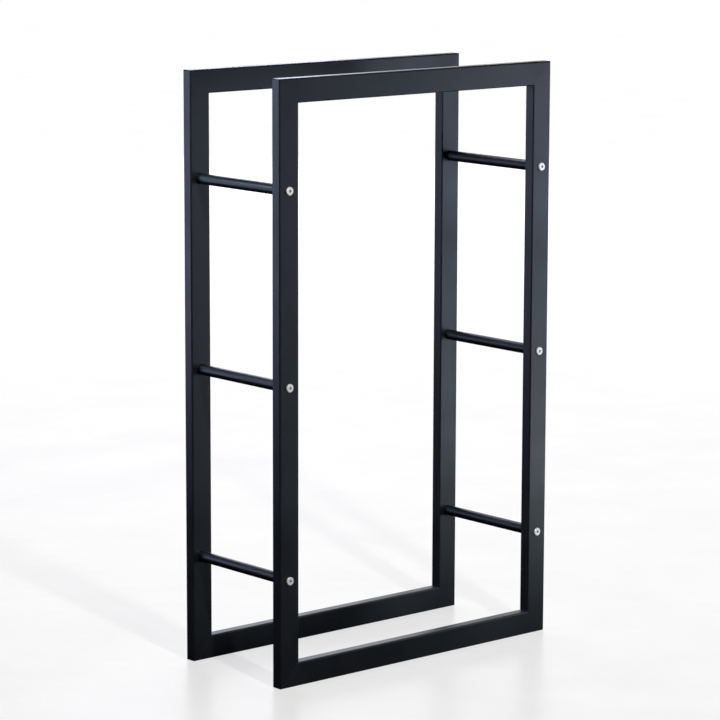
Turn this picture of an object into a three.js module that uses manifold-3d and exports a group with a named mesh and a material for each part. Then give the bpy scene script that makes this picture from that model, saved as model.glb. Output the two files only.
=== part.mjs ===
// Firewood log rack. Two upright rectangular frames, each mitred from four lengths of rectangular
// steel tube, stand one behind the other. Six round crossbars hold them apart, three between the
// left stiles and three between the right stiles. A socket screw at each end of every crossbar
// passes through the stile and into a threaded insert in the crossbar's end.
//
// Units are millimetres. +Z is up, +Y points to the rear and +X to the right of someone facing
// the front. The origin is at floor level, under the middle of the rack.

import * as THREE from 'three';
import { mergeVertices } from 'three/addons/utils/BufferGeometryUtils.js';
import Module from 'manifold-3d';

const wasm = await Module();
wasm.setup();

// Whole rack
const RACK_WIDTH = 600;
const RACK_HEIGHT = 1000;
const FRAME_OUTER_DEPTH = 250; // front face of the front frame to rear face of the rear frame

// Rectangular tube of the two frames
const TUBE_FACE = 40; // wide side, seen from the front
const TUBE_DEPTH = 20; // narrow side, seen from the end of the rack
const TUBE_WALL = 1.2;
const TUBE_CORNER_RADIUS = 2.5;
const TUBE_CORNER_SEGMENTS = 4;

// Round crossbars
const CROSSBAR_DIAMETER = 18;
const CROSSBAR_WALL = 1.5;
const CROSSBAR_SEGMENTS = 32;
const CROSSBAR_HEIGHTS = { lower: 180, middle: 500, upper: 820 };

// Threaded inserts welded into the crossbars' ends
const INSERT_LENGTH = 20;
const INSERT_RECESS = 0.5;
const INSERT_SIDE_GAP = 0.1;
const INSERT_SEGMENTS = 16;

// M6 screws with a flat, round-shouldered head and a hexagon socket
const SCREW_DIAMETER = 6;
const SCREW_LENGTH = 35;
const SCREW_TIP_CHAMFER = 0.8;
const SCREW_HEAD_DIAMETER = 14;
const SCREW_HEAD_HEIGHT = 2.5;
const SCREW_HEAD_RIM = 1; // straight edge under the shoulder
const SCREW_FLAT_DIAMETER = 12; // flat face inside the shoulder
const SCREW_SHOULDER_STEPS = 3;
const SCREW_SEGMENTS = 16;
const SOCKET_ACROSS_FLATS = 4;
const SOCKET_DEPTH = 2.2;
const SCREW_SIDE_GAP = 0.3;

const CUT_OVERRUN = 2; // how far a cutting tool runs past the face it cuts

// Worked out from the driving dimensions
const frameCentreY = (FRAME_OUTER_DEPTH - TUBE_DEPTH) / 2;
const crossbarLength = FRAME_OUTER_DEPTH - 2 * TUBE_DEPTH;
const crossbarX = (RACK_WIDTH - TUBE_FACE) / 2;
const crossbarInnerRadius = CROSSBAR_DIAMETER / 2 - CROSSBAR_WALL;
const screwHoleRadius = SCREW_DIAMETER / 2 + SCREW_SIDE_GAP;

const materials = {
  frame: new THREE.MeshStandardMaterial({ color: 0x1d2024, roughness: 0.55, metalness: 0.2 }),
  crossbar: new THREE.MeshStandardMaterial({ color: 0x1b1e22, roughness: 0.5, metalness: 0.2 }),
  screw: new THREE.MeshStandardMaterial({ color: 0xc9ccd0, roughness: 0.3, metalness: 0.95 }),
  insert: new THREE.MeshStandardMaterial({ color: 0x8c8f93, roughness: 0.5, metalness: 0.9 }),
};

// A closed solid for cutting, from a closed geometry
function solidFrom(geometry) {
  const plain = geometry.clone();
  plain.deleteAttribute('normal');
  plain.deleteAttribute('uv');
  const merged = mergeVertices(plain);
  return new wasm.Manifold(new wasm.Mesh({
    numProp: 3,
    vertProperties: new Float32Array(merged.attributes.position.array),
    triVerts: new Uint32Array(merged.index.array),
  }));
}

function geometryFrom(solid) {
  const mesh = solid.getMesh();
  const geometry = new THREE.BufferGeometry();
  geometry.setAttribute('position', new THREE.BufferAttribute(mesh.vertProperties, 3));
  geometry.setIndex(new THREE.BufferAttribute(mesh.triVerts, 1));
  geometry.computeVertexNormals();
  return geometry;
}

function cutAll(geometry, tools) {
  let solid = solidFrom(geometry);
  for (const tool of tools) {
    solid = solid.subtract(solidFrom(tool));
  }
  return geometryFrom(solid);
}

function pieceMesh(name, geometry, material) {
  const mesh = new THREE.Mesh(geometry, material);
  mesh.name = name;
  return mesh;
}

// Draws a rectangle with round corners on a shape or a hole's path
function roundedRectangle(path, left, right, bottom, top, radius) {
  const quarter = Math.PI / 2;
  path.moveTo(left + radius, bottom);
  path.lineTo(right - radius, bottom);
  path.absarc(right - radius, bottom + radius, radius, -quarter, 0);
  path.lineTo(right, top - radius);
  path.absarc(right - radius, top - radius, radius, 0, quarter);
  path.lineTo(left + radius, top);
  path.absarc(left + radius, top - radius, radius, quarter, 2 * quarter);
  path.lineTo(left, bottom + radius);
  path.absarc(left + radius, bottom + radius, radius, 2 * quarter, 3 * quarter);
  return path;
}

// The tube's section: X is the distance from the outer side of the frame, Y is the depth
function tubeSection() {
  const half = TUBE_DEPTH / 2;
  const section = roundedRectangle(new THREE.Shape(), 0, TUBE_FACE, -half, half, TUBE_CORNER_RADIUS);
  const bore = roundedRectangle(
    new THREE.Path(),
    TUBE_WALL,
    TUBE_FACE - TUBE_WALL,
    TUBE_WALL - half,
    half - TUBE_WALL,
    TUBE_CORNER_RADIUS - TUBE_WALL,
  );
  section.holes.push(bore);
  return section;
}

// A straight tube with both ends mitred at 45 degrees. It lies along X, centred on the origin,
// with its long outer side on the plane Z = 0 and its short inner side above it.
function mitredTube(length) {
  const geometry = new THREE.ExtrudeGeometry(tubeSection(), {
    depth: length,
    bevelEnabled: false,
    curveSegments: TUBE_CORNER_SEGMENTS,
  });
  const position = geometry.attributes.position;
  for (let i = 0; i < position.count; i += 1) {
    const inward = position.getX(i);
    const depth = position.getY(i);
    const isFarEnd = position.getZ(i) > length / 2;
    const along = isFarEnd ? inward - length / 2 : length / 2 - inward;
    position.setXYZ(i, along, depth, inward);
  }
  geometry.computeVertexNormals();
  return geometry;
}

// Clearance holes for the screws, through the front and rear walls of a stile
function stileTube() {
  const tools = Object.values(CROSSBAR_HEIGHTS).map((height) => {
    const drill = new THREE.CylinderGeometry(
      screwHoleRadius,
      screwHoleRadius,
      TUBE_DEPTH + 2 * CUT_OVERRUN,
      SCREW_SEGMENTS,
    );
    return drill.translate(RACK_HEIGHT / 2 - height, 0, TUBE_FACE / 2);
  });
  return cutAll(mitredTube(RACK_HEIGHT), tools);
}

// One upright frame. Each side is the same lying tube, turned about Y by quarter turns.
function uprightFrame(end) {
  const quarter = Math.PI / 2;
  const sides = [
    { side: 'bottom_rail', geometry: mitredTube(RACK_WIDTH), turns: 0, x: 0, z: 0 },
    { side: 'left_stile', geometry: stileTube(), turns: 1, x: -RACK_WIDTH / 2, z: RACK_HEIGHT / 2 },
    { side: 'top_rail', geometry: mitredTube(RACK_WIDTH), turns: 2, x: 0, z: RACK_HEIGHT },
    { side: 'right_stile', geometry: stileTube(), turns: 3, x: RACK_WIDTH / 2, z: RACK_HEIGHT / 2 },
  ];
  const frame = new THREE.Group();
  for (const { side, geometry, turns, x, z } of sides) {
    const tube = pieceMesh(`${end}_${side}`, geometry, materials.frame);
    tube.rotation.y = turns * quarter;
    tube.position.set(x, 0, z);
    frame.add(tube);
  }
  return frame;
}

// A round pipe about the Y axis, from one Y to another
function pipe(outerRadius, innerRadius, fromY, toY, segments) {
  const profile = [
    new THREE.Vector2(outerRadius, fromY),
    new THREE.Vector2(outerRadius, toY),
    new THREE.Vector2(innerRadius, toY),
    new THREE.Vector2(innerRadius, fromY),
    new THREE.Vector2(outerRadius, fromY),
  ];
  return new THREE.LatheGeometry(profile, segments);
}

// The head stands out towards -Y from the origin and the shank runs towards +Y
function screw() {
  const headRadius = SCREW_HEAD_DIAMETER / 2;
  const flatRadius = SCREW_FLAT_DIAMETER / 2;
  const shankRadius = SCREW_DIAMETER / 2;
  const shoulderHeight = SCREW_HEAD_HEIGHT - SCREW_HEAD_RIM;
  const profile = [new THREE.Vector2(0, -SCREW_HEAD_HEIGHT)];
  for (let step = 0; step <= SCREW_SHOULDER_STEPS; step += 1) {
    const angle = (Math.PI / 2) * (step / SCREW_SHOULDER_STEPS);
    const radius = flatRadius + (headRadius - flatRadius) * Math.sin(angle);
    profile.push(new THREE.Vector2(radius, -SCREW_HEAD_RIM - shoulderHeight * Math.cos(angle)));
  }
  profile.push(new THREE.Vector2(headRadius, 0));
  profile.push(new THREE.Vector2(shankRadius, 0));
  profile.push(new THREE.Vector2(shankRadius, SCREW_LENGTH - SCREW_TIP_CHAMFER));
  profile.push(new THREE.Vector2(shankRadius - SCREW_TIP_CHAMFER, SCREW_LENGTH));
  profile.push(new THREE.Vector2(0, SCREW_LENGTH));
  const blank = new THREE.LatheGeometry(profile, SCREW_SEGMENTS);

  const socketRadius = SOCKET_ACROSS_FLATS / Math.sqrt(3);
  const socketHeight = SOCKET_DEPTH + CUT_OVERRUN;
  const socket = new THREE.CylinderGeometry(socketRadius, socketRadius, socketHeight, 6);
  socket.translate(0, SOCKET_DEPTH - SCREW_HEAD_HEIGHT - socketHeight / 2, 0);
  return cutAll(blank, [socket]);
}

// A crossbar lies along Y. Each of its ends has an insert inside it and a screw through the stile.
function crossbarSet(side, level) {
  const set = new THREE.Group();
  const bar = pipe(
    CROSSBAR_DIAMETER / 2,
    crossbarInnerRadius,
    -crossbarLength / 2,
    crossbarLength / 2,
    CROSSBAR_SEGMENTS,
  );
  set.add(pieceMesh(`${side}_${level}_crossbar`, bar, materials.crossbar));
  for (const end of ['front', 'rear']) {
    const fixings = new THREE.Group();
    const insertStart = INSERT_RECESS - crossbarLength / 2;
    const insert = pipe(
      crossbarInnerRadius - INSERT_SIDE_GAP,
      screwHoleRadius,
      insertStart,
      insertStart + INSERT_LENGTH,
      INSERT_SEGMENTS,
    );
    fixings.add(pieceMesh(`${end}_${side}_${level}_insert`, insert, materials.insert));
    const bolt = pieceMesh(`${end}_${side}_${level}_screw`, screw(), materials.screw);
    bolt.position.y = -FRAME_OUTER_DEPTH / 2;
    fixings.add(bolt);
    fixings.rotation.z = end === 'front' ? 0 : Math.PI;
    set.add(fixings);
  }
  return set;
}

const rack = new THREE.Group();

const frontFrame = uprightFrame('front');
frontFrame.position.y = -frameCentreY;
rack.add(frontFrame);

const rearFrame = uprightFrame('rear');
rearFrame.position.y = frameCentreY;
rack.add(rearFrame);

for (const [side, x] of [['left', -crossbarX], ['right', crossbarX]]) {
  for (const [level, height] of Object.entries(CROSSBAR_HEIGHTS)) {
    const set = crossbarSet(side, level);
    set.position.set(x, 0, height);
    rack.add(set);
  }
}

export default rack;
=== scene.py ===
import math
import random

import bmesh
import bpy
from mathutils import Matrix, Vector


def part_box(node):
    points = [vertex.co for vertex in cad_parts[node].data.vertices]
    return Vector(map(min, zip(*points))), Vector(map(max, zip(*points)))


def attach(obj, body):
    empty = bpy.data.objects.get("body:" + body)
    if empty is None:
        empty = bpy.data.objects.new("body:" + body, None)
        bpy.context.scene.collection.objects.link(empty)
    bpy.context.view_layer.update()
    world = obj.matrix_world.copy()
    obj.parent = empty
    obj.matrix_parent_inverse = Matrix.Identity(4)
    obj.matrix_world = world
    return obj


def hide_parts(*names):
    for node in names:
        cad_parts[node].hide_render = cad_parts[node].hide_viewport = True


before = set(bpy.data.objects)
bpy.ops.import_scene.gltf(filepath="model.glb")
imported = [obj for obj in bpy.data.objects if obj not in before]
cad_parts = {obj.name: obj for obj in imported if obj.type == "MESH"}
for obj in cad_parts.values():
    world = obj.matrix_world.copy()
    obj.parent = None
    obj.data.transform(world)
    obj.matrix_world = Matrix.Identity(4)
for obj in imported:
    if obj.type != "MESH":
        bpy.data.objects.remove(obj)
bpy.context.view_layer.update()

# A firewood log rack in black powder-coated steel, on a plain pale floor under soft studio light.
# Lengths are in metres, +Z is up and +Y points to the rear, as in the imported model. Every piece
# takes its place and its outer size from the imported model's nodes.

ENDS = ("front", "rear")
SIDES = ("left", "right")
LEVELS = ("lower", "middle", "upper")

# Rectangular tube
TUBE_WALL = 0.0012
TUBE_CORNER_RADIUS = 0.0025
TUBE_CORNER_STEPS = 8
MITRE_EASE = 0.00005  # how much the ends are eased along the mitre, which leaves a fine seam
DRESSED_RADIUS = 0.0025  # outer corners of a frame, ground round after welding
DRESSED_STEPS = 8

# Crossbars
BAR_WALL = 0.0015
BAR_CHAMFER = 0.0004
BAR_SEGMENTS = 72

# Screws and inserts
SHANK_RADIUS = 0.003
HOLE_RADIUS = 0.0033
HOLE_SEGMENTS = 48
HEAD_HEIGHT = 0.0025
HEAD_RIM = 0.001
HEAD_EDGE = 0.0001
FLAT_RADIUS = 0.006
SHOULDER_STEPS = 10
SOCKET_SIDES = 6
SOCKET_FLATS = 0.004
SOCKET_DEPTH = 0.0022
SOCKET_CHAMFER = 0.0003
SCREW_SEGMENTS = 64
THREAD_PITCH = 0.001
THREAD_DEPTH = 0.0005
THREAD_START = 0.008
THREAD_RUN_OUT = 0.001
THREAD_STEPS = 8  # rings in each turn of the thread
TIP_CHAMFER = 0.0008
INSERT_CHAMFER = 0.0004
INSERT_SEGMENTS = 48

SHARP_ANGLE = math.radians(32)
QUARTER_TURN = math.pi / 2
TOLERANCE = 0.00001


# ---------------------------------------------------------------- mesh building


def join_rings(mesh, rings, wrap):
    """Joins each ring of vertices to the next with faces, and the last to the first if wrap is set."""
    pairs = list(zip(rings, rings[1:]))
    if wrap:
        pairs.append((rings[-1], rings[0]))
    for ring, following in pairs:
        count = len(ring)
        for i in range(count):
            j = (i + 1) % count
            corners = [ring[i], ring[j], following[j], following[i]]
            mesh.faces.new(list(dict.fromkeys(corners)))


def mark_sharp(mesh):
    """Smooth shading everywhere, broken at the real corners."""
    for face in mesh.faces:
        face.smooth = True
    for edge in mesh.edges:
        edge.smooth = edge.calc_face_angle(0) < SHARP_ANGLE


def finish_mesh(name, mesh, matrix):
    """Turns a bmesh into an object at matrix."""
    bmesh.ops.recalc_face_normals(mesh, faces=mesh.faces)
    mark_sharp(mesh)
    data = bpy.data.meshes.new(name)
    mesh.to_mesh(data)
    mesh.free()
    piece = bpy.data.objects.new(name, data)
    piece.matrix_world = matrix
    bpy.context.scene.collection.objects.link(piece)
    return piece


def carve(piece, tool, operation):
    """Cuts a piece by a tool, or keeps only what the tool holds, and removes the tool."""
    boolean = piece.modifiers.new("carve", "BOOLEAN")
    boolean.operation = operation
    boolean.solver = "EXACT"
    boolean.object = tool
    bpy.context.view_layer.update()
    graph = bpy.context.evaluated_depsgraph_get()
    carved = bpy.data.meshes.new_from_object(piece.evaluated_get(graph))
    piece.modifiers.remove(boolean)
    piece.data = carved
    bpy.data.objects.remove(tool)
    mesh = bmesh.new()
    mesh.from_mesh(carved)
    mark_sharp(mesh)
    mesh.to_mesh(carved)
    mesh.free()


def dress(piece, node, material):
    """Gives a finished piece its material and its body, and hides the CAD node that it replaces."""
    weighted = piece.modifiers.new("weighted_normals", "WEIGHTED_NORMAL")
    weighted.keep_sharp = True
    weighted.weight = 100
    piece.data.materials.clear()
    piece.data.materials.append(material)
    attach(piece, "root")
    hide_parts(node)


def revolve(mesh, profile, segments):
    """Rings of vertices about Y from a profile of (radius, y). A radius of 0 is one point."""
    rings = []
    for radius, y in profile:
        if radius == 0:
            rings.append([mesh.verts.new((0, y, 0))] * segments)
            continue
        ring = []
        for i in range(segments):
            angle = 2 * math.pi * i / segments
            ring.append(mesh.verts.new((radius * math.cos(angle), y, radius * math.sin(angle))))
        rings.append(ring)
    return rings


def turned(name, profile, segments, matrix, wrap):
    """A solid turned about Y from a profile, which closes on itself if wrap is set."""
    mesh = bmesh.new()
    join_rings(mesh, revolve(mesh, profile, segments), wrap)
    return finish_mesh(name, mesh, matrix)


# ---------------------------------------------------------------- frames


def rounded_rectangle(half_width, half_height, radius, steps):
    """Points round a rectangle about the origin, with the share of the way round each corner."""
    wide = half_width - radius
    high = half_height - radius
    points = []
    for quarter, (across, up) in enumerate(((wide, high), (-wide, high), (-wide, -high), (wide, -high))):
        for step in range(steps + 1):
            share = step / steps
            angle = QUARTER_TURN * (quarter + share)
            points.append((across + radius * math.cos(angle), up + radius * math.sin(angle), share))
    return points


def mitred_tube(name, length, width, depth, matrix):
    """A hollow tube along X with mitred ends. Its outer side lies on Z = 0."""
    mesh = bmesh.new()
    edge_layer = mesh.verts.layers.float.new("edge")

    def ring(inset, direction, setback):
        radius = TUBE_CORNER_RADIUS - inset
        vertices = []
        for across, deep, share in rounded_rectangle(
            width / 2 - inset, depth / 2 - inset, radius, TUBE_CORNER_STEPS
        ):
            inward = width / 2 + across
            vertex = mesh.verts.new((direction * (length / 2 - inward - setback), deep, inward))
            # The middle of each rounded corner takes the most of the thin coat and painted edge highlight
            vertex[edge_layer] = math.sin(math.pi * share)
            vertices.append(vertex)
        return vertices

    setback = MITRE_EASE * math.sqrt(2)
    rings = [
        ring(TUBE_WALL, -1, 0),
        ring(MITRE_EASE, -1, 0),
        ring(0, -1, setback),
        ring(0, 1, setback),
        ring(MITRE_EASE, 1, 0),
        ring(TUBE_WALL, 1, 0),
    ]
    join_rings(mesh, rings, wrap=True)
    return finish_mesh(name, mesh, matrix)


def drill(piece, centre, depth):
    """Drills a screw's clearance hole along Y through both walls of a stile."""
    profile = [(0, -depth), (HOLE_RADIUS, -depth), (HOLE_RADIUS, depth), (0, depth)]
    tool = turned("drill", profile, HOLE_SEGMENTS, Matrix.Translation(centre), wrap=False)
    carve(piece, tool, "DIFFERENCE")


def round_frame_corners(piece, end):
    """Keeps what lies inside the frame's outline, which has lightly rounded corners."""
    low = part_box(f"{end}_bottom_rail")[0]
    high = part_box(f"{end}_top_rail")[1]
    centre = (low + high) / 2
    half = (high - low) / 2
    mesh = bmesh.new()
    rings = []
    for y in (-2 * half.y, 2 * half.y):
        outline = rounded_rectangle(half.x, half.z, DRESSED_RADIUS, DRESSED_STEPS)
        rings.append([mesh.verts.new((x, y, z)) for x, z, share in outline])
    join_rings(mesh, rings, wrap=False)
    mesh.faces.new(rings[0])
    mesh.faces.new(rings[1])
    outline_tool = finish_mesh("outline", mesh, Matrix.Translation(centre))
    carve(piece, outline_tool, "INTERSECT")


def frame_side(end, side, turns, coat):
    """One of a frame's four tubes, at its CAD node's place, in quarter turns from the bottom rail."""
    node = f"{end}_{side}"
    low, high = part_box(node)
    centre = (low + high) / 2
    size = high - low
    outward = Matrix.Rotation(turns * QUARTER_TURN, 3, "Y") @ Vector((0, 0, -1))
    length = max(size.x, size.z)
    width = min(size.x, size.z)
    place = Matrix.Translation(centre + outward * width / 2)
    matrix = place @ Matrix.Rotation(turns * QUARTER_TURN, 4, "Y")
    piece = mitred_tube(f"{node}_tube", length, width, size.y, matrix)
    round_frame_corners(piece, end)
    if side.endswith("stile"):
        for level in LEVELS:
            bar_low, bar_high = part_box(f"{side.split('_')[0]}_{level}_crossbar")
            bar_centre = (bar_low + bar_high) / 2
            drill(piece, Vector((bar_centre.x, centre.y, bar_centre.z)), size.y)
    dress(piece, node, coat)


# ---------------------------------------------------------------- crossbars, inserts, screws


def crossbar(node, coat):
    """A round pipe along Y with lightly broken edges."""
    low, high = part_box(node)
    radius = (high.x - low.x) / 2
    half = (high.y - low.y) / 2
    bore = radius - BAR_WALL
    profile = [
        (radius, BAR_CHAMFER - half),
        (radius, half - BAR_CHAMFER),
        (radius - BAR_CHAMFER, half),
        (bore, half),
        (bore, -half),
        (radius - BAR_CHAMFER, -half),
    ]
    matrix = Matrix.Translation((low + high) / 2)
    piece = turned(f"{node}_pipe", profile, BAR_SEGMENTS, matrix, wrap=True)
    dress(piece, node, coat)


def insert(node, steel):
    """A turned plug with a bore, inside a crossbar's end."""
    low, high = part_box(node)
    radius = (high.x - low.x) / 2
    half = (high.y - low.y) / 2
    profile = [
        (radius, INSERT_CHAMFER - half),
        (radius, half - INSERT_CHAMFER),
        (radius - INSERT_CHAMFER, half),
        (HOLE_RADIUS + INSERT_CHAMFER, half),
        (HOLE_RADIUS, half - INSERT_CHAMFER),
        (HOLE_RADIUS, INSERT_CHAMFER - half),
        (HOLE_RADIUS + INSERT_CHAMFER, -half),
        (radius - INSERT_CHAMFER, -half),
    ]
    matrix = Matrix.Translation((low + high) / 2)
    piece = turned(f"{node}_plug", profile, INSERT_SEGMENTS, matrix, wrap=True)
    dress(piece, node, steel)


def thread_radius(y, shank, angle):
    """Radius of the screw's thread, a ridge that climbs one pitch in each turn."""
    from_ends = min(y - THREAD_START, shank - TIP_CHAMFER - y)
    depth = THREAD_DEPTH * min(1, max(0, from_ends / THREAD_RUN_OUT))
    phase = (y / THREAD_PITCH + angle / (2 * math.pi)) % 1
    return SHANK_RADIUS - depth * abs(2 * phase - 1)


def screw_head_profile(head_radius):
    """From the middle of the flat face, round the shoulder and under the head to the shank."""
    profile = [(0, -HEAD_HEIGHT)]
    for step in range(SHOULDER_STEPS + 1):
        angle = QUARTER_TURN * step / SHOULDER_STEPS
        radius = FLAT_RADIUS + (head_radius - FLAT_RADIUS) * math.sin(angle)
        profile.append((radius, -HEAD_RIM - (HEAD_HEIGHT - HEAD_RIM) * math.cos(angle)))
    profile += [(head_radius, -HEAD_EDGE), (head_radius - HEAD_EDGE, 0), (SHANK_RADIUS, 0)]
    return profile


def screw_mesh(head_radius, shank):
    """Head, threaded shank and tip about Y. The head's underside lies on Y = 0."""
    mesh = bmesh.new()
    rings = revolve(mesh, screw_head_profile(head_radius), SCREW_SEGMENTS)
    step_length = THREAD_PITCH / THREAD_STEPS
    thread_length = shank - TIP_CHAMFER - THREAD_START
    for step in range(round(thread_length / step_length) + 1):
        y = THREAD_START + step * step_length
        ring = []
        for i in range(SCREW_SEGMENTS):
            angle = 2 * math.pi * i / SCREW_SEGMENTS
            radius = thread_radius(y, shank, angle)
            ring.append(mesh.verts.new((radius * math.cos(angle), y, radius * math.sin(angle))))
        rings.append(ring)
    rings += revolve(mesh, [(SHANK_RADIUS - TIP_CHAMFER, shank), (0, shank)], SCREW_SEGMENTS)
    join_rings(mesh, rings, wrap=False)
    return mesh


def cut_socket(piece, matrix):
    """Sinks the hexagon socket into the head, and marks its faces for the painted shade in the socket."""
    corner = SOCKET_FLATS / math.sqrt(3)
    mouth = -HEAD_HEIGHT
    bottom = mouth + SOCKET_DEPTH
    profile = [
        (0, mouth - SOCKET_CHAMFER),
        (corner + 2 * SOCKET_CHAMFER, mouth - SOCKET_CHAMFER),
        (corner, mouth + SOCKET_CHAMFER),
        (corner, bottom),
        (0, bottom),
    ]
    carve(piece, turned("socket", profile, SOCKET_SIDES, matrix, wrap=False), "DIFFERENCE")
    # Painted shade: the socket's faces are marked to be darkened in the material
    socket_shade = piece.data.attributes.new("socket_shade", "FLOAT", "CORNER")
    for face in piece.data.polygons:
        near_axis = math.hypot(face.center.x, face.center.z) < corner
        sunk = mouth + TOLERANCE < face.center.y < bottom + TOLERANCE
        for loop in face.loop_indices:
            socket_shade.data[loop].value = float(near_axis and sunk)


def screw(node, end, zinc, turn):
    """The head stands out from the frame, and the threaded shank runs into the crossbar's insert."""
    low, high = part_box(node)
    head_radius = (high.x - low.x) / 2
    shank = (high.y - low.y) - HEAD_HEIGHT
    seat_y = low.y + HEAD_HEIGHT if end == "front" else high.y - HEAD_HEIGHT
    facing = 0 if end == "front" else math.pi
    seat = Matrix.Translation(((low.x + high.x) / 2, seat_y, (low.z + high.z) / 2))
    matrix = seat @ Matrix.Rotation(facing, 4, "Z") @ Matrix.Rotation(turn, 4, "Y")
    piece = finish_mesh(f"{node}_bolt", screw_mesh(head_radius, shank), matrix)
    cut_socket(piece, matrix)
    dress(piece, node, zinc)


# ---------------------------------------------------------------- materials

# Where most of a noise's values lie
NOISE_SPREAD = (0.35, 0.65)
WIDE_SPREAD = (0.3, 0.7)

# Black powder coat. The scales are in patches to the metre.
# Paler blue-grey on the rounded corners: thin coat there, and a painted highlight standing for light
# bounced onto the corners
COAT_THIN_AND_EDGE_HIGHLIGHT = (0.02, 0.022, 0.028, 1)
COAT_SHEEN = (0.87, 0.93, 1.0, 1)  # reflections are faintly blue
COAT_IOR = 1.5
CLOUD_SCALE = 9
PEEL_SCALE = 420
GRAIN_SCALE = 1100
# Patches that break up the thin coat and painted edge highlight
WEAR_AND_HIGHLIGHT_SCALE = 150
WEAR_AND_HIGHLIGHT_SPREAD = (0.45, 0.65)
WEAR_AND_HIGHLIGHT_MOST = 0.35
GRAIN_GLOSS = 0.04
GRAIN_HEIGHT = 0.3  # of the orange peel's
PEEL_STRENGTH = 0.35
PEEL_DEPTH = 0.00006

# Turned metal
PATCH_SCALE = 500
MARK_DISTORTION = 1.5
MARK_STRENGTH = 0.15
MARK_DEPTH = 0.00002

# Floor
FLOOR_DARK = (0.21, 0.20, 0.195, 1)
FLOOR_LIGHT = (0.235, 0.225, 0.22, 1)
FLOOR_ROUGHNESS = 0.3
FLOOR_SPECULAR = 0.05
FLOOR_SCALE = 4
FLOOR_MOTTLE = 0.02
GLOW_MIDDLE = (-0.1, -0.3, 0.0)
GLOW_REACH = 8.0
# Metres from the glow's middle, and the floor's own brightness there
GLOW_STOPS = ((0.0, 0.67), (0.7, 0.653), (5.0, 0.655), (8.0, 1.2))


def new_material(name):
    material = bpy.data.materials.new(name)
    material.use_nodes = True
    nodes = material.node_tree.nodes
    return material, nodes, material.node_tree.links, nodes["Principled BSDF"]


def noise(nodes, links, vector, scale, detail, roughness=0.5):
    texture = nodes.new("ShaderNodeTexNoise")
    texture.inputs["Scale"].default_value = scale
    texture.inputs["Detail"].default_value = detail
    texture.inputs["Roughness"].default_value = roughness
    links.new(vector, texture.inputs["Vector"])
    return texture.outputs["Fac"]


def remap(nodes, links, value, source, target):
    node = nodes.new("ShaderNodeMapRange")
    node.inputs["From Min"].default_value = source[0]
    node.inputs["From Max"].default_value = source[1]
    node.inputs["To Min"].default_value = target[0]
    node.inputs["To Max"].default_value = target[1]
    links.new(value, node.inputs["Value"])
    return node.outputs["Result"]


def arithmetic(nodes, links, operation, first, second):
    node = nodes.new("ShaderNodeMath")
    node.operation = operation
    for socket, value in zip(node.inputs, (first, second)):
        if isinstance(value, (int, float)):
            socket.default_value = value
        else:
            links.new(value, socket)
    return node.outputs["Value"]


def mix_colour(nodes, links, factor, first, second):
    node = nodes.new("ShaderNodeMix")
    node.data_type = "RGBA"
    links.new(factor, node.inputs["Factor"])
    for name, colour in (("A", first), ("B", second)):
        socket = [s for s in node.inputs if s.name == name and s.type == "RGBA"][0]
        if isinstance(colour, tuple):
            socket.default_value = colour
        else:
            links.new(colour, socket)
    return [s for s in node.outputs if s.type == "RGBA"][0]


def painted_share(nodes, name):
    """A number that the mesh holds at each place, or 0 on a mesh that doesn't hold it."""
    attribute = nodes.new("ShaderNodeAttribute")
    attribute.attribute_name = name
    return attribute.outputs["Fac"]


def add_bump(nodes, links, shader, height, strength, distance):
    bump = nodes.new("ShaderNodeBump")
    bump.inputs["Strength"].default_value = strength
    bump.inputs["Distance"].default_value = distance
    links.new(height, bump.inputs["Height"])
    links.new(bump.outputs["Normal"], shader.inputs["Normal"])


def powder_coat(name, dark, light, roughness):
    """Black powder coat: orange peel, cloudy gloss, paler in patches on the rounded edges, where the coat
    pulls thin and a painted highlight stands for light bounced onto the corners.
    """
    material, nodes, links, shader = new_material(name)
    place = nodes.new("ShaderNodeTexCoord").outputs["Object"]
    clouds = noise(nodes, links, place, CLOUD_SCALE, 4)
    peel = noise(nodes, links, place, PEEL_SCALE, 2)
    grain = noise(nodes, links, place, GRAIN_SCALE, 2, 0.6)
    patches = noise(nodes, links, place, WEAR_AND_HIGHLIGHT_SCALE, 3)

    toned = mix_colour(nodes, links, remap(nodes, links, clouds, NOISE_SPREAD, (0, 1)), dark, light)
    # Thin coat and painted highlight: the rounded edges turn paler in patches
    broken = remap(nodes, links, patches, WEAR_AND_HIGHLIGHT_SPREAD, (0, WEAR_AND_HIGHLIGHT_MOST))
    wear_and_highlight = arithmetic(nodes, links, "MULTIPLY", painted_share(nodes, "edge"), broken)
    links.new(mix_colour(nodes, links, wear_and_highlight, toned, COAT_THIN_AND_EDGE_HIGHLIGHT), shader.inputs["Base Color"])

    gloss = remap(nodes, links, clouds, WIDE_SPREAD, roughness)
    fine = remap(nodes, links, grain, WIDE_SPREAD, (-GRAIN_GLOSS, GRAIN_GLOSS))
    links.new(arithmetic(nodes, links, "ADD", gloss, fine), shader.inputs["Roughness"])

    fine_height = arithmetic(nodes, links, "MULTIPLY", grain, GRAIN_HEIGHT)
    height = arithmetic(nodes, links, "ADD", peel, fine_height)
    add_bump(nodes, links, shader, height, PEEL_STRENGTH, PEEL_DEPTH)
    shader.inputs["IOR"].default_value = COAT_IOR
    shader.inputs["Specular Tint"].default_value = COAT_SHEEN
    return material


def frame_coat():
    dark = (0.0035, 0.0042, 0.0062, 1)
    light = (0.005, 0.006, 0.0085, 1)
    return powder_coat("frame_coat", dark, light, roughness=(0.36, 0.46))


def crossbar_coat():
    dark = (0.0035, 0.004, 0.006, 1)
    light = (0.005, 0.0058, 0.008, 1)
    return powder_coat("crossbar_coat", dark, light, roughness=(0.34, 0.44))


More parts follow.
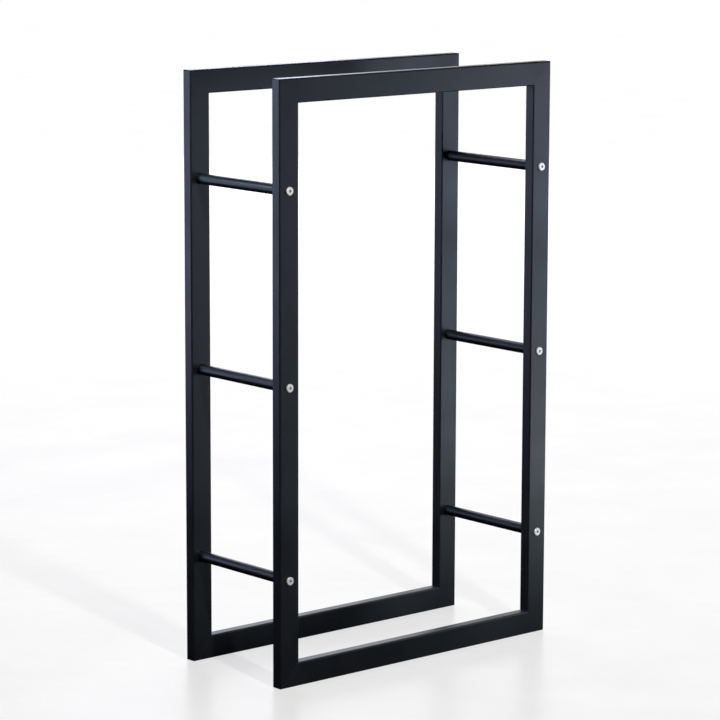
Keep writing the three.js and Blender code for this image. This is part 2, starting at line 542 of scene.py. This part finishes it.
def turned_metal(name, light, dark, socket_shade_colour, roughness, metallic, marks):
    """Plated or bare steel with fine turning marks round the Y axis. The socket's faces take a painted
    shade colour where one is given.
    """
    material, nodes, links, shader = new_material(name)
    place = nodes.new("ShaderNodeTexCoord").outputs["Object"]
    patches = noise(nodes, links, place, PATCH_SCALE, 3)
    surface = mix_colour(nodes, links, remap(nodes, links, patches, NOISE_SPREAD, (0, 1)), light, dark)
    # Painted shade darkens the socket's faces
    if socket_shade_colour:
        surface = mix_colour(nodes, links, painted_share(nodes, "socket_shade"), surface, socket_shade_colour)
    links.new(surface, shader.inputs["Base Color"])
    links.new(remap(nodes, links, patches, WIDE_SPREAD, roughness), shader.inputs["Roughness"])

    rings = nodes.new("ShaderNodeTexWave")
    rings.wave_type = "RINGS"
    rings.rings_direction = "Y"
    rings.inputs["Scale"].default_value = marks
    rings.inputs["Distortion"].default_value = MARK_DISTORTION
    rings.inputs["Detail"].default_value = 2
    links.new(place, rings.inputs["Vector"])
    add_bump(nodes, links, shader, rings.outputs["Fac"], MARK_STRENGTH, MARK_DEPTH)
    shader.inputs["Metallic"].default_value = metallic
    return material


def bright_zinc():
    light = (0.97, 0.96, 0.95, 1)
    dark = (0.86, 0.85, 0.84, 1)
    # Painted shade for the inside of the hex socket
    socket_shade_colour = (0.30, 0.30, 0.31, 1)
    return turned_metal("bright_zinc", light, dark, socket_shade_colour, roughness=(0.4, 0.52), metallic=0.35, marks=900)


def plain_steel():
    light = (0.52, 0.52, 0.53, 1)
    dark = (0.40, 0.40, 0.41, 1)
    return turned_metal("plain_steel", light, dark, None, roughness=(0.3, 0.45), metallic=1, marks=700)


def pale_floor():
    """A pale, faintly mottled sheet that fades to plain white away from the rack."""
    material, nodes, links, shader = new_material("pale_floor")
    place = nodes.new("ShaderNodeTexCoord").outputs["Object"]
    clouds = noise(nodes, links, place, FLOOR_SCALE, 6, 0.65)
    share = remap(nodes, links, clouds, NOISE_SPREAD, (0, 1))
    links.new(mix_colour(nodes, links, share, FLOOR_DARK, FLOOR_LIGHT), shader.inputs["Base Color"])

    distance = nodes.new("ShaderNodeVectorMath")
    distance.operation = "DISTANCE"
    distance.inputs[1].default_value = GLOW_MIDDLE
    links.new(place, distance.inputs[0])
    reach = remap(nodes, links, distance.outputs["Value"], (0, GLOW_REACH), (0, 1))
    ramp = nodes.new("ShaderNodeValToRGB")
    ramp.color_ramp.interpolation = "B_SPLINE"
    while len(ramp.color_ramp.elements) < len(GLOW_STOPS):
        ramp.color_ramp.elements.new(1)
    for element, (metres, strength) in zip(ramp.color_ramp.elements, GLOW_STOPS):
        element.position = metres / GLOW_REACH
        element.color = (strength, strength, strength, 1)
    links.new(reach, ramp.inputs["Fac"])
    links.new(ramp.outputs["Color"], shader.inputs["Emission Color"])
    mottle = remap(nodes, links, clouds, WIDE_SPREAD, (1 - FLOOR_MOTTLE, 1 + FLOOR_MOTTLE))
    links.new(mottle, shader.inputs["Emission Strength"])
    shader.inputs["Roughness"].default_value = FLOOR_ROUGHNESS
    shader.inputs["Specular IOR Level"].default_value = FLOOR_SPECULAR
    return material


# ---------------------------------------------------------------- camera, floor and light

CAMERA_PLACE = Vector((-3.4913, -4.0024, 1.4168))
CAMERA_HEADING = math.radians(40.927)  # from +Y towards +X
CAMERA_PITCH = math.radians(-9.808)
CAMERA_ROLL = math.radians(0.168)
CAMERA_LENS = 158.39
SENSOR_WIDTH = 36.0

FLOOR_RADIUS = 40.0
FLOOR_SEGMENTS = 96
FLOOR_DROP = 0.0002  # keeps the floor clear of the rails' lower faces, which end at the same height

# Area lights: place, aim, width, height, power in watts and colour. These light only the rack.
RACK_LIGHTS = {
    "right_strip": ((1.5, -1.1, 0.55), (0.28, -0.1, 0.5), 0.4, 1.0, 6.6, (0.75, 0.82, 1.0)),
    "right_low": ((0.95, -0.75, 0.09), (0.28, -0.1, 0.08), 0.3, 0.12, 0.9, (0.88, 1.0, 0.96)),
    "right_fill": ((1.2, -1.2, 0.6), (0.2, 0.0, 0.6), 0.7, 0.7, 1.4, (0.75, 0.85, 1.0)),
    "left_low": ((-1.2, 1.2, 0.6), (-0.3, 0.0, 0.6), 0.7, 0.7, 4.3, (0.64, 0.69, 1.0)),
    "left_high": ((-0.95, 0.5, 1.25), (-0.3, 0.0, 0.7), 0.45, 0.45, 6.6, (0.66, 0.79, 1.0)),
    "front_box": ((0.0, -4.0, 1.2), (0.0, 0.0, 0.5), 2.4, 2.0, 5.0, (1.0, 1.0, 1.0)),
    "rear_box": ((-0.4, 4.2, 1.2), (0.0, 0.0, 0.5), 2.4, 2.0, 14.0, (0.95, 0.97, 1.0)),
    "left_box": ((-4.2, -0.4, 1.2), (0.0, 0.0, 0.5), 2.0, 2.0, 6.0, (0.95, 0.97, 1.0)),
    "right_box": ((4.2, 0.2, 1.2), (0.0, 0.0, 0.5), 2.0, 2.0, 12.0, (1.0, 1.0, 1.0)),
}
# These light the rack and the floor.
ROOM_LIGHTS = {
    "rear_high": ((1.0, 1.8, 1.5), (0.0, 0.0, 0.6), 0.8, 0.8, 9.3, (0.67, 0.69, 1.0)),
    "rear_top": ((0.3, 0.8, 2.0), (0.0, 0.0, 0.6), 0.6, 0.6, 8.6, (0.9, 0.92, 1.0)),
    "rear_wall": ((5.0, 5.8, 1.6), (0.0, 0.0, 0.4), 5.0, 3.0, 96.0, (0.99, 0.99, 1.0)),
    "front_key": ((-0.8, -2.7, 2.7), (0.0, 0.0, 0.3), 0.15, 0.15, 88.0, (1.0, 0.99, 0.98)),
}


def add_camera():
    data = bpy.data.cameras.new("camera")
    data.lens = CAMERA_LENS
    data.sensor_width = SENSOR_WIDTH
    camera = bpy.data.objects.new("camera", data)
    headed = Matrix.Rotation(-CAMERA_HEADING, 4, "Z")
    pitched = Matrix.Rotation(QUARTER_TURN + CAMERA_PITCH, 4, "X")
    rolled = Matrix.Rotation(CAMERA_ROLL, 4, "Z")
    camera.matrix_world = Matrix.Translation(CAMERA_PLACE) @ headed @ pitched @ rolled
    bpy.context.scene.collection.objects.link(camera)
    bpy.context.scene.camera = camera


def add_floor():
    """A wide pale floor. It takes the rack's shadow but throws no light back onto the dark coat."""
    mesh = bmesh.new()
    bmesh.ops.create_circle(mesh, cap_ends=True, radius=FLOOR_RADIUS, segments=FLOOR_SEGMENTS)
    floor = finish_mesh("floor", mesh, Matrix.Translation((0, 0, -FLOOR_DROP)))
    floor.data.materials.append(pale_floor())
    floor.visible_diffuse = False
    floor.visible_glossy = False
    return floor


def add_light(name, place, aim, width, height, power, colour, receivers):
    data = bpy.data.lights.new(name, "AREA")
    data.shape = "RECTANGLE"
    data.size = width
    data.size_y = height
    data.energy = power
    data.color = colour
    lamp = bpy.data.objects.new(name, data)
    lamp.location = place
    lamp.rotation_mode = "QUATERNION"
    lamp.rotation_quaternion = (Vector(aim) - Vector(place)).to_track_quat("-Z", "Y")
    lamp.visible_camera = False
    lamp.light_linking.receiver_collection = receivers
    bpy.context.scene.collection.objects.link(lamp)


def add_backdrop():
    """Plain white all round, which lights nothing."""
    world = bpy.data.worlds.new("backdrop")
    bpy.context.scene.world = world
    world.use_nodes = True
    background = world.node_tree.nodes["Background"]
    background.inputs["Color"].default_value = (1, 1, 1, 1)
    world.cycles_visibility.diffuse = False
    world.cycles_visibility.glossy = False
    world.cycles_visibility.transmission = False


add_camera()
add_backdrop()
all_but_floor = bpy.data.collections.new("all_but_floor")
all_but_floor.objects.link(add_floor())
all_but_floor.collection_objects[0].light_linking.link_state = "EXCLUDE"
for name, settings in RACK_LIGHTS.items():
    add_light(name, *settings, all_but_floor)
for name, settings in ROOM_LIGHTS.items():
    add_light(name, *settings, None)
bpy.context.scene.view_settings.view_transform = "Standard"

black = frame_coat()
for end in ENDS:
    for turns, side in enumerate(("bottom_rail", "left_stile", "top_rail", "right_stile")):
        frame_side(end, side, turns, black)

smooth_black = crossbar_coat()
zinc = bright_zinc()
steel = plain_steel()
random.seed(7)
for side in SIDES:
    for level in LEVELS:
        crossbar(f"{side}_{level}_crossbar", smooth_black)
        for end in ENDS:
            insert(f"{end}_{side}_{level}_insert", steel)
            turn = random.uniform(0, 2 * math.pi / SOCKET_SIDES)
            screw(f"{end}_{side}_{level}_screw", end, zinc, turn)
